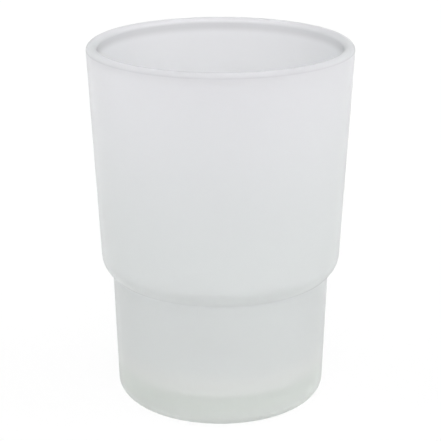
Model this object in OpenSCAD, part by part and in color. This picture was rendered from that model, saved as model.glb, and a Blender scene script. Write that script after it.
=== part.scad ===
// Stepped bathroom tumbler, one piece of pressed glass that is frosted all over.
// The narrow lower body drops through the ring of a wall holder, and the shoulder sits on the ring.
// The origin is on the axis, in the plane that the glass stands on, and +Z points up to the mouth.

/* [Outside] */
// Height from the standing plane to the top of the lip
height = 100; // [92:1:115]
// Diameter of the upper wall where its line meets the top plane
mouth_d = 72.2; // [70:0.2:78]
// Diameter of the upper wall where its line meets the slope of the shoulder
shoulder_d = 66.2; // [65:0.2:69]
// Diameter of the lower body at the neck, under the shoulder
neck_d = 60.4; // [58:0.2:62]
// Diameter of the lower body where its line meets the standing plane
foot_d = 58.2; // [54:0.2:60]

/* [Step] */
// Height of the neck
neck_z = 35.8; // [28:0.2:44]
// Rise of the shoulder's slope, from the neck to the upper wall's line
shoulder_rise = 2.3; // [2:0.1:4]
// Radius that turns the shoulder's slope into the upper wall
shoulder_r = 6.4; // [4:0.1:7]
// Radius in the corner of the neck, under the shoulder
neck_r = 1.2; // [0.4:0.1:1.8]

/* [Foot] */
// Radius of the heel
heel_r = 3.4; // [1.5:0.1:5]
// Width of the flat ring that the glass stands on
bearing_w = 3; // [1.5:0.5:6]
// Height of the hollow under the base, at its middle
push_up = 1.6; // [0.8:0.1:3]
// Radius that rolls the standing ring into the hollow
roll_r = 6; // [2:0.5:12]

/* [Glass] */
// Thickness of the upper wall at the lip
lip_wall = 3; // [2.2:0.1:4]
// Thickness of the upper wall at the shoulder
shoulder_wall = 3.2; // [2.6:0.1:4.2]
// Thickness of the shoulder, square to its slope
step_wall = 3.2; // [2.6:0.1:4.2]
// Thickness of the lower wall at the neck
neck_wall = 3.3; // [2.6:0.1:4.2]
// Thickness of the lower wall at the floor
floor_wall = 3.7; // [2.8:0.1:5.5]
// Height of the inner floor above the standing plane
floor_z = 6.5; // [5:0.5:14]

/* [Bore] */
// Radius that turns the floor up into the lower bore
floor_r = 7.5; // [3:0.5:9]
// Radius over the ledge, where the lower bore opens out
ledge_r = 3.4; // [1.5:0.1:4.5]
// Radius inside the shoulder, where the slope turns up into the upper bore
bore_shoulder_r = 4; // [2:0.1:5]

/* [Hidden] */
// Facets round the axis
$fn = 240;
// Largest turn between two points of an arc, in degrees
arc_step = 5;
// Largest distance between two points of an arc
arc_chord = 2.5;
// Share of a slope that the radii at its two ends may take up between them
slope_share = 0.95;

// A point [x, z] of the profile lies x from the axis and z above the standing plane.

// Vector of length one along v
function unit(v) = v / norm(v);
// Vector v turned a quarter turn to the left
function left_of(v) = [-v[1], v[0]];
// Point at height z on the line through a and b
function at_height(a, b, z) = a + (b - a) * (z - a[1]) / (b[1] - a[1]);
// Point where the line through a and b crosses the line through c and d
function crossing(a, b, c, d) =
  let (across = left_of(d - c))
  a + (b - a) * ((c - a) * across) / ((b - a) * across);
// Angle by which the line through a and b leans out from the upright
function lean(a, b) = atan((b[0] - a[0]) / (b[1] - a[1]));

// Half of the angle at the corner b, between the edges to a and to c
function half_corner(a, b, c) = acos(unit(a - b) * unit(c - b)) / 2;
// Length of edge that a radius r takes up on each side of the corner b
function take_up(a, b, c, r) = r / tan(half_corner(a, b, c));
// Factor, at most one, by which the radii at b and c shrink where the edge from b to c is too short
function slope_fit(a, b, c, d, r_b, r_c) =
  min(1, slope_share * norm(c - b) / (take_up(a, b, c, r_b) + take_up(b, c, d, r_c)));

// Points of an arc about c, from angle a0 to angle a1
function arc(c, r, a0, a1) =
  let (
    turn = abs(a1 - a0),
    steps = ceil(max(turn / arc_step, r * turn * PI / 180 / arc_chord))
  )
  [for (i = [0:steps]) let (a = a0 + (a1 - a0) * i / steps) c + r * [cos(a), sin(a)]];
// Points of the arc of radius r that rounds the corner b between a and c
function rounded(a, b, c, r) =
  let (
    half = half_corner(a, b, c),
    centre = b + unit(unit(a - b) + unit(c - b)) * r / sin(half),
    spoke = b + unit(a - b) * take_up(a, b, c, r) - centre,
    from = atan2(spoke[1], spoke[0]),
    way = sign(left_of(b - a) * (c - b))
  )
  arc(centre, r, from, from + way * (180 - 2 * half));

// Corners of the outside, before they are rounded
foot = [foot_d / 2, 0];
neck = [neck_d / 2, neck_z];
shoulder = [shoulder_d / 2, neck_z + shoulder_rise];
mouth = [mouth_d / 2, height];

// The shoulder's slope again, one thickness further in
step_in = left_of(unit(shoulder - neck)) * step_wall;
// Corners of the bore, each one thickness in from the outside
bore_mouth = mouth - [lip_wall, 0];
bore_shoulder = crossing(bore_mouth, shoulder - [shoulder_wall, 0], neck + step_in, shoulder + step_in);
floor_corner = at_height(foot, neck, floor_z) - [floor_wall, 0];
ledge = crossing(floor_corner, neck - [neck_wall, 0], neck + step_in, shoulder + step_in);

outer_fit = slope_fit(foot, neck, shoulder, mouth, neck_r, shoulder_r);
bore_fit = slope_fit(bore_mouth, bore_shoulder, ledge, floor_corner, bore_shoulder_r, ledge_r);

// The hollow is a shallow dome that the roll meets without an edge
heel_start = foot[0] - take_up([0, 0], foot, neck, heel_r);
roll_centre = [heel_start - bearing_w, roll_r];
hollow_r = (pow(roll_centre[0], 2) + pow(push_up, 2)) / (2 * push_up) - roll_r;
hollow_turn = asin(roll_centre[0] / (hollow_r + roll_r));

function hollow() =
  concat(
    arc([0, push_up - hollow_r], hollow_r, 90, 90 - hollow_turn),
    arc(roll_centre, roll_r, -90 - hollow_turn, -90)
  );

// The lip is rounded all the way over, so it touches both walls and the top plane
outer_lean = lean(shoulder, mouth);
bore_lean = lean(bore_shoulder, bore_mouth);
lip_r = lip_wall / (1 / cos(outer_lean) + 1 / cos(bore_lean) + tan(outer_lean) - tan(bore_lean));
lip_x = mouth[0] - lip_r * (tan(outer_lean) + 1 / cos(outer_lean));

function lip() =
  let (centre = [lip_x, height - lip_r])
  concat(
    arc(centre, lip_r, -outer_lean, 90),
    arc(centre, lip_r, 90, 180 - bore_lean)
  );

function outside() =
  concat(
    rounded([0, 0], foot, neck, heel_r),
    rounded(foot, neck, shoulder, neck_r * outer_fit),
    rounded(neck, shoulder, mouth, shoulder_r * outer_fit)
  );

function bore() =
  concat(
    rounded(bore_mouth, bore_shoulder, ledge, bore_shoulder_r * bore_fit),
    rounded(bore_shoulder, ledge, floor_corner, ledge_r * bore_fit),
    rounded(ledge, floor_corner, [0, floor_z], floor_r),
    [[0, floor_z]]
  );

module tumbler() {
  color([0.85, 0.88, 0.87])
  rotate_extrude()
  polygon(concat(hollow(), outside(), lip(), bore()));
}

tumbler();
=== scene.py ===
"""The looks of a frosted glass tumbler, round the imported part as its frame. Metres, +Z up."""

from math import atan, cos, pi, radians, sin, tan

import bpy
import numpy as np
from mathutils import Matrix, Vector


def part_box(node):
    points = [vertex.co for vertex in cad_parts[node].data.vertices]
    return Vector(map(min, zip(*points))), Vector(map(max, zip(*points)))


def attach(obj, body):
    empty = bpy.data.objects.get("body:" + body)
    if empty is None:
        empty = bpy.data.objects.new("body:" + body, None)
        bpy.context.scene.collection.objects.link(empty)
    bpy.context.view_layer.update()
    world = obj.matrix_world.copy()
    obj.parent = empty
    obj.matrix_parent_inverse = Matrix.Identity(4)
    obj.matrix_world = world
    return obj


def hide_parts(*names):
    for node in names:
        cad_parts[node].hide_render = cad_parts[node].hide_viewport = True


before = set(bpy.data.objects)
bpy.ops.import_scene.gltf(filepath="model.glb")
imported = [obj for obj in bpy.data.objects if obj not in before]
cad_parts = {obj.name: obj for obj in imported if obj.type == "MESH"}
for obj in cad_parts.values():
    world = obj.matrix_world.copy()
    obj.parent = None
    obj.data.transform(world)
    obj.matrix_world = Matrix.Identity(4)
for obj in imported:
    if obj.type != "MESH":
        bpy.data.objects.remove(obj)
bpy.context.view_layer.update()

# The camera
# It stands where the photograph was taken from, by the outline of the glass: about 40 cm from it,
# with a long lens, and looking down a little, so that the mouth shows as an ellipse.
MM = 0.001
LOOK_AT_Z = 49.5 * MM
CAMERA_DISTANCE = 405.4 * MM
CAMERA_TILT = radians(19.3)
SENSOR = 36
IMAGE_SIDE = 441
FOCAL_PIXELS = 1451.9

lens = bpy.data.cameras.new("camera")
lens.sensor_width = SENSOR
lens.lens = SENSOR * FOCAL_PIXELS / IMAGE_SIDE
camera = bpy.data.objects.new("camera", lens)
camera.location = (0, -CAMERA_DISTANCE * cos(CAMERA_TILT), LOOK_AT_Z + CAMERA_DISTANCE * sin(CAMERA_TILT))
camera.rotation_euler = (pi / 2 - CAMERA_TILT, 0, 0)
bpy.context.scene.collection.objects.link(camera)
bpy.context.scene.camera = camera

# The tumbler
# One piece of soda-lime glass, pressed between a mould and a plunger and fire-polished at the lip.
# It steps in under the shoulder, so that it can hang in a ring, and it stands on a flat ring round a
# shallow hollow. Its whole skin is etched, which makes it frosted.
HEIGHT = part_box("tumbler")[1].z
MOUTH_R = 36.1 * MM
SHOULDER_R = 33.1 * MM
NECK_R = 30.2 * MM
FOOT_R = 29.1 * MM
NECK_Z = 35.8 * MM
SHOULDER_Z = NECK_Z + 2.3 * MM
SHOULDER_ROUND = 6.4 * MM
NECK_ROUND = 1.2 * MM
HEEL_ROUND = 3.4 * MM
BEARING_WIDTH = 3 * MM
HOLLOW_HEIGHT = 1.6 * MM
ROLL_ROUND = 6 * MM
LIP_WALL = 3 * MM
SHOULDER_WALL = 3.2 * MM
STEP_WALL = 3.2 * MM
NECK_WALL = 3.3 * MM
FLOOR_WALL = 3.7 * MM
FLOOR_Z = 6.5 * MM
FLOOR_ROUND = 7.5 * MM
LEDGE_ROUND = 3.4 * MM
BORE_SHOULDER_ROUND = 4 * MM
RING_SPACING = 2 * MM
ARC_POINTS = 18
SECTORS = 256


def unit(v):
    """The vector v at length one."""
    return v / np.linalg.norm(v)


def left_of(v):
    """The vector v turned a quarter turn to the left."""
    return np.array([-v[1], v[0]])


def crossing(a, b, c, d):
    """Where the line through a and b meets the line through c and d, by their cross products."""
    across = left_of(d - c)
    return a + (b - a) * ((c - a) @ across) / ((b - a) @ across)


def arc(centre, radius, start, end):
    """Points at equal angles on a circle about centre, from angle start to angle end."""
    turn = np.linspace(start, end, ARC_POINTS)
    return centre + radius * np.stack([np.cos(turn), np.sin(turn)], 1)


def rounded(a, b, c, radius):
    """The arc that touches both edges at corner b: its centre lies on the bisector of the corner."""
    to_a, to_c = unit(a - b), unit(c - b)
    half = np.arccos(to_a @ to_c) / 2
    centre = b + unit(to_a + to_c) * radius / sin(half)
    spoke = b + to_a * radius / tan(half) - centre
    start = np.arctan2(spoke[1], spoke[0])
    way = np.sign(left_of(b - a) @ (c - b))
    return arc(centre, radius, start, start + way * (pi - 2 * half))


def filled(points, spacing):
    """The same outline with more points, so that no straight stretch is longer than the spacing."""
    lengths = np.linalg.norm(np.diff(points, axis=0), axis=1)
    counts = np.maximum(np.ceil(lengths / spacing), 1).astype(int)
    along = np.repeat(np.arange(len(counts)), counts)
    first = np.repeat(np.cumsum(counts) - counts, counts)
    share = (np.arange(counts.sum()) - first) / counts[along]
    inner = points[along] + (points[along + 1] - points[along]) * share[:, None]
    return np.vstack([inner, points[-1:]])


foot = np.array([FOOT_R, 0])
neck = np.array([NECK_R, NECK_Z])
shoulder = np.array([SHOULDER_R, SHOULDER_Z])
mouth = np.array([MOUTH_R, HEIGHT])
step_in = left_of(unit(shoulder - neck)) * STEP_WALL
bore_mouth = mouth - [LIP_WALL, 0]
bore_shoulder = crossing(bore_mouth, shoulder - [SHOULDER_WALL, 0], neck + step_in, shoulder + step_in)
floor_corner = foot + (neck - foot) * FLOOR_Z / NECK_Z - [FLOOR_WALL, 0]
ledge = crossing(floor_corner, neck - [NECK_WALL, 0], neck + step_in, shoulder + step_in)

heel = rounded(np.zeros(2), foot, neck, HEEL_ROUND)
roll_centre = np.array([heel[0, 0] - BEARING_WIDTH, ROLL_ROUND])
hollow_round = (roll_centre[0] ** 2 + HOLLOW_HEIGHT ** 2) / (2 * HOLLOW_HEIGHT) - ROLL_ROUND
hollow_turn = np.arcsin(roll_centre[0] / (hollow_round + ROLL_ROUND))

outer_lean = atan((MOUTH_R - SHOULDER_R) / (HEIGHT - SHOULDER_Z))
bore_lean = atan((bore_mouth[0] - bore_shoulder[0]) / (HEIGHT - bore_shoulder[1]))
lip_round = LIP_WALL / (1 / cos(outer_lean) + 1 / cos(bore_lean) + tan(outer_lean) - tan(bore_lean))
lip_centre = np.array([MOUTH_R - lip_round * (tan(outer_lean) + 1 / cos(outer_lean)), HEIGHT - lip_round])

outline = filled(
    np.vstack(
        [
            arc([0, HOLLOW_HEIGHT - hollow_round], hollow_round, pi / 2, pi / 2 - hollow_turn),
            arc(roll_centre, ROLL_ROUND, -pi / 2 - hollow_turn, -pi / 2),
            heel,
            rounded(foot, neck, shoulder, NECK_ROUND),
            rounded(neck, shoulder, mouth, SHOULDER_ROUND),
            arc(lip_centre, lip_round, -outer_lean, pi / 2),
            arc(lip_centre, lip_round, pi / 2, pi - bore_lean)[1:],
            rounded(bore_mouth, bore_shoulder, ledge, BORE_SHOULDER_ROUND),
            rounded(bore_shoulder, ledge, floor_corner, LEDGE_ROUND),
            rounded(ledge, floor_corner, np.array([0, FLOOR_Z]), FLOOR_ROUND),
            [[0, FLOOR_Z]],
        ]
    ),
    RING_SPACING,
)
# Where two arcs end in the same point, one of the two is dropped
SAME_POINT = 1e-4 * MM
outline = outline[np.r_[True, np.linalg.norm(np.diff(outline, axis=0), axis=1) > SAME_POINT]]


def turned(name, outline, sectors):
    """A closed surface of revolution: each outline point is carried round the axis, and both ends,
    which lie on the axis, are single points that close it."""
    rings = outline[1:-1]
    angle = np.arange(sectors) * 2 * pi / sectors
    x = rings[:, :1] * np.cos(angle)
    y = rings[:, :1] * np.sin(angle)
    z = np.broadcast_to(rings[:, 1:], x.shape)
    points = np.vstack(
        [
            np.stack([x, y, z], 2).reshape(-1, 3),
            [[0, 0, outline[0, 1]], [0, 0, outline[-1, 1]]],
        ]
    )
    j = np.arange(sectors)
    ahead = (j + 1) % sectors
    row = np.arange(len(rings) - 1)[:, None] * sectors
    quads = np.stack([row + j, row + ahead, row + sectors + ahead, row + sectors + j], 2).reshape(-1, 4)
    last = (len(rings) - 1) * sectors
    low = np.stack([np.full(sectors, len(points) - 2), ahead, j], 1)
    high = np.stack([last + j, last + ahead, np.full(sectors, len(points) - 1)], 1)
    mesh = bpy.data.meshes.new(name)
    mesh.from_pydata(points.tolist(), [], quads.tolist() + low.tolist() + high.tolist())
    mesh.update()
    mesh.shade_smooth()
    piece = bpy.data.objects.new(name, mesh)
    bpy.context.scene.collection.objects.link(piece)
    return piece


def linear(hex_colour):
    """The linear colour of an sRGB hex value, by the sRGB curve, with an alpha of one."""
    srgb = np.array([int(hex_colour[i : i + 2], 16) for i in (1, 3, 5)]) / 255
    value = np.where(srgb <= 0.04045, srgb / 12.92, ((srgb + 0.055) / 1.055) ** 2.4)
    return (*value.tolist(), 1)


def add(nodes, kind, settings=None, **inputs):
    """Adds a shader node, sets its properties, and sets or links its inputs by name or number."""
    node = nodes.new(kind)
    for key, value in (settings or {}).items():
        setattr(node, key, value)
    for key, value in inputs.items():
        socket = node.inputs[int(key[1:])] if key[0] == "_" else node.inputs[key.replace("_", " ")]
        if isinstance(value, bpy.types.NodeSocket):
            nodes.id_data.links.new(value, socket)
        else:
            socket.default_value = value
    return node


# Soda-lime glass, etched all over in an acid bath. The eye sees a satin skin that glows with whatever
# light is behind it and shows nothing sharp. Its colour goes from a bluish white at the lip to a greener
# shade below the shoulder, which is also painted darker there as shade, where the lower body gets less
# light; the whiter stops at the base are painted light from the floor and from the inner floor lit through
# the mouth.
# Height on the glass, as a share of its own, and the tint with painted shade and light of the skin there
TINTS_AND_PAINTED_SHADE = {
    0.025: "#FFFFFF",
    0.055: "#FEFFFE",
    0.11: "#FFFFFF",
    0.18: "#F8F9FA",
    0.33: "#F8F9FA",
    0.42: "#FDFEFF",
    1: "#FDFCFF",
}
# How even the etch is: clouds from the swirl of the bath, about 12 mm across. The noise mostly stays
# between the low and the high value
CLOUD_SIZE = 12 * MM
CLOUD_LOW, CLOUD_HIGH = 0.3, 0.7
CLOUD_SHADE = 0.012
# A darker ring is painted on the bore just under the lip: painted shade, where light bent through
# the rounded lip leaves the bore dim.
# Height on the glass, as a share of its own, and how much of the painted ring of shade there is
PAINTED_RIM_SHADE_STOPS = {0.955: 0, 0.977: 1, 0.984: 1, 0.992: 0}
# How much the painted ring of shade darkens the skin
PAINTED_RIM_SHADE = 0.2
# The outside is taken to be etched finer than the bore and the lip, because the base shows through it,
# dim and soft
OUTER_ROUGHNESS = 0.38
BORE_ROUGHNESS = 0.88
CLOUD_ROUGHNESS = 0.02
# The grain of the etch is about 0.05 mm, too fine to show, so it is drawn ten times as coarse
GRAIN_SIZE = 0.5 * MM
GRAIN_DEPTH = 0.01 * MM
# Soda-lime glass bends light by 1.52. The etched skin lets most of it through and scatters the rest,
# and its sheen lightens the outline
GLASS_IOR = 1.52
SKIN_TRANSMISSION = 0.62
SKIN_SHEEN = 0.2
SKIN_SHEEN_ROUGHNESS = 0.3
# The glass itself is faintly green where it is thick
GLASS_COLOUR = "#EAF6EB"
GLASS_DENSITY = 30
glass = bpy.data.materials.new("acid_etched_soda_lime_glass")
glass.use_nodes = True
nodes = glass.node_tree.nodes
nodes.clear()
place = add(nodes, "ShaderNodeTexCoord").outputs["Object"]
height = add(nodes, "ShaderNodeSeparateXYZ", _0=place).outputs["Z"]
height = add(nodes, "ShaderNodeMath", {"operation": "DIVIDE"}, _0=height, _1=HEIGHT)
# The first ramp gives the tint by height, with painted shade over the lower body and painted light at the
# base
tint_and_shade_ramp = add(nodes, "ShaderNodeValToRGB", _0=height.outputs[0])
# The second ramp paints the ring of shade under the lip
painted_rim = add(nodes, "ShaderNodeValToRGB", _0=height.outputs[0])
tint_and_shade_stops = {share: linear(colour) for share, colour in TINTS_AND_PAINTED_SHADE.items()}
painted_rim_stops = {share: (level, level, level, 1) for share, level in PAINTED_RIM_SHADE_STOPS.items()}
for ramp, stops in ((tint_and_shade_ramp.color_ramp, tint_and_shade_stops), (painted_rim.color_ramp, painted_rim_stops)):
    ramp.interpolation = "EASE"
    while len(ramp.elements) < len(stops):
        ramp.elements.new(1)
    for element, (share, colour) in zip(ramp.elements, stops.items()):
        element.position = share
        element.color = colour
cloud = add(nodes, "ShaderNodeTexNoise", Vector=place, Scale=1 / CLOUD_SIZE, Detail=3, Roughness=0.6)
mottle_and_painted_shade = add(
    nodes,
    "ShaderNodeMapRange",
    Value=cloud.outputs[0],
    From_Min=CLOUD_LOW,
    From_Max=CLOUD_HIGH,
    To_Min=1 - CLOUD_SHADE,
    To_Max=1,
)
bore = add(nodes, "ShaderNodeAttribute", {"attribute_name": "bore"})
# The painted ring of shade, laid on the bore only, darkens the skin's colour
painted_rim_band = add(
    nodes, "ShaderNodeMath", {"operation": "MULTIPLY"}, _0=painted_rim.outputs["Color"], _1=bore.outputs["Fac"]
)
painted_rim_darkening = add(nodes, "ShaderNodeMapRange", Value=painted_rim_band.outputs[0], To_Min=1, To_Max=1 - PAINTED_RIM_SHADE)
mottle_and_painted_shade = add(nodes, "ShaderNodeMath", {"operation": "MULTIPLY"}, _0=mottle_and_painted_shade.outputs[0], _1=painted_rim_darkening.outputs[0])
# The skin's colour: tint with painted shade and light by height, the etch's random clouds, and the painted
# ring of shade under the lip
tint_and_painted_shade = add(
    nodes,
    "ShaderNodeVectorMath",
    {"operation": "SCALE"},
    _0=tint_and_shade_ramp.outputs["Color"],
    Scale=mottle_and_painted_shade.outputs[0],
)
grain = add(nodes, "ShaderNodeTexNoise", Vector=place, Scale=1 / GRAIN_SIZE, Detail=2, Roughness=0.5)
rough = add(
    nodes, "ShaderNodeMapRange", Value=bore.outputs["Fac"], To_Min=OUTER_ROUGHNESS, To_Max=BORE_ROUGHNESS
)
uneven = add(
    nodes,
    "ShaderNodeMapRange",
    Value=cloud.outputs[0],
    From_Min=CLOUD_LOW,
    From_Max=CLOUD_HIGH,
    To_Min=-CLOUD_ROUGHNESS,
    To_Max=CLOUD_ROUGHNESS,
)
rough = add(nodes, "ShaderNodeMath", {"operation": "ADD"}, _0=rough.outputs[0], _1=uneven.outputs[0])
bump = add(nodes, "ShaderNodeBump", Strength=1, Distance=GRAIN_DEPTH, Height=grain.outputs[0])
skin = add(
    nodes,
    "ShaderNodeBsdfPrincipled",
    Base_Color=tint_and_painted_shade.outputs[0],
    Roughness=rough.outputs[0],
    Normal=bump.outputs[0],
    IOR=GLASS_IOR,
    Transmission_Weight=SKIN_TRANSMISSION,
    Sheen_Weight=SKIN_SHEEN,
    Sheen_Roughness=SKIN_SHEEN_ROUGHNESS,
)
body = add(nodes, "ShaderNodeVolumeAbsorption", Color=linear(GLASS_COLOUR), Density=GLASS_DENSITY)
add(nodes, "ShaderNodeOutputMaterial", Surface=skin.outputs[0], Volume=body.outputs[0])

tumbler = turned("tumbler_glass", outline, SECTORS)
# The attribute bore is 1 from the outside of the lip inwards, and 0 below it on the outside
in_bore = np.arange(1, len(outline) - 1) > np.argmax(outline[:, 1] > lip_centre[1])
in_bore = np.r_[np.repeat(in_bore, SECTORS), False, True].astype(np.float32)
tumbler.data.attributes.new("bore", "FLOAT", "POINT").data.foreach_set("value", in_bore)
tumbler.data.materials.append(glass)
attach(tumbler, "root")
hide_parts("tumbler")

# The floor
# A sheet of white paper on a table top. It runs out of the picture on every side, and the glass stands
# on it and leaves a faint soft shadow.
FLOOR_SIDE = 6
FLOOR_GAP = 0.02 * MM
floor_mesh = bpy.data.meshes.new("floor")
half = FLOOR_SIDE / 2
floor_corners = [
    (-half, -half, -FLOOR_GAP),
    (half, -half, -FLOOR_GAP),
    (half, half, -FLOOR_GAP),
    (-half, half, -FLOOR_GAP),
]
floor_mesh.from_pydata(floor_corners, [], [(0, 1, 2, 3)])
floor = bpy.data.objects.new("floor", floor_mesh)
bpy.context.scene.collection.objects.link(floor)
# Matt white paper. The eye sees an even white with a faint shadow under the glass. Its tooth is about
# 0.3 mm, too fine to show, so it is drawn five times as coarse.
TOOTH_SIZE = 1.5 * MM
TOOTH_DEPTH = 0.02 * MM
SMOOTHEST, ROUGHEST = 0.4, 0.6
# How much plain white the camera, the gloss and the glass see in place of the lit paper. The rest
# carries the shadow
WHITE_SHARE = 0.9
paper = bpy.data.materials.new("white_studio_paper")
paper.use_nodes = True
nodes = paper.node_tree.nodes
nodes.clear()
place = add(nodes, "ShaderNodeTexCoord").outputs["Object"]
tooth = add(nodes, "ShaderNodeTexNoise", Vector=place, Scale=1 / TOOTH_SIZE, Detail=3, Roughness=0.5)
rough = add(nodes, "ShaderNodeMapRange", Value=tooth.outputs[0], To_Min=SMOOTHEST, To_Max=ROUGHEST)
bump = add(nodes, "ShaderNodeBump", Strength=1, Distance=TOOTH_DEPTH, Height=tooth.outputs[0])
matt = add(
    nodes, "ShaderNodeBsdfDiffuse", Color=(1, 1, 1, 1), Roughness=rough.outputs[0], Normal=bump.outputs[0]
)
ray = add(nodes, "ShaderNodeLightPath")
seen = add(
    nodes,
    "ShaderNodeMath",
    {"operation": "MAXIMUM"},
    _0=ray.outputs["Is Camera Ray"],
    _1=ray.outputs["Is Glossy Ray"],
)
seen = add(
    nodes,
    "ShaderNodeMath",
    {"operation": "MAXIMUM"},
    _0=seen.outputs[0],
    _1=ray.outputs["Is Transmission Ray"],
)
share = add(nodes, "ShaderNodeMath", {"operation": "MULTIPLY"}, _0=seen.outputs[0], _1=WHITE_SHARE)
white = add(nodes, "ShaderNodeEmission", Color=(1, 1, 1, 1), Strength=1)
both = add(nodes, "ShaderNodeMixShader", _0=share.outputs[0], _1=matt.outputs[0], _2=white.outputs[0])
add(nodes, "ShaderNodeOutputMaterial", Surface=both.outputs[0])
floor_mesh.materials.append(paper)

# The light
# A white room whose walls and ceiling hold soft boxes: a wide and weak one above the glass, strong ones
# on its right and in front, and a weaker one on its left. They are part of the world, so their light
# has no hard edge, and together they light a level surface at about 1.
EVEN_LEVEL = 0.08
# The azimuth and height of each box's middle in degrees, how narrow it is, and its level
SOFT_BOXES = [
    (0, 90, 2, 0.47),
    (90, 30, 8, 2.8),
    (-90, 30, 8, 2),
    (0, 25, 8, 2.6),
]
world = bpy.data.worlds.new("white_room")
bpy.context.scene.world = world
world.use_nodes = True
nodes = world.node_tree.nodes
nodes.clear()
way = add(nodes, "ShaderNodeTexCoord")


def soft_box(below, azimuth, height, power, level):
    """The light so far and that of a soft box, whose level falls off as a power of the cosine of the
    angle from its middle. The middle is at the given angles round the glass and above it, in degrees."""
    turn, rise = radians(azimuth), radians(height)
    middle = (sin(turn) * cos(rise), -cos(turn) * cos(rise), sin(rise))
    near = add(
        nodes, "ShaderNodeVectorMath", {"operation": "DOT_PRODUCT"}, _0=way.outputs["Generated"], _1=middle
    )
    ahead = add(nodes, "ShaderNodeMath", {"operation": "MAXIMUM"}, _0=near.outputs["Value"], _1=0)
    lobe = add(nodes, "ShaderNodeMath", {"operation": "POWER"}, _0=ahead.outputs[0], _1=power)
    return add(
        nodes, "ShaderNodeMath", {"operation": "MULTIPLY_ADD"}, _0=lobe.outputs[0], _1=level, _2=below
    ).outputs[0]


light = EVEN_LEVEL
for box in SOFT_BOXES:
    light = soft_box(light, *box)
room = add(nodes, "ShaderNodeBackground", Color=(1, 1, 1, 1), Strength=light)
add(nodes, "ShaderNodeOutputWorld", Surface=room.outputs[0])

bpy.context.scene.view_settings.view_transform = "Standard"

# Light crosses the wall of the frosted glass many times before it leaves, and a path that is cut short
# darkens it
LIGHT_BOUNCES = 32
cycles = bpy.context.scene.cycles
cycles.max_bounces = LIGHT_BOUNCES
cycles.glossy_bounces = LIGHT_BOUNCES
cycles.transmission_bounces = LIGHT_BOUNCES
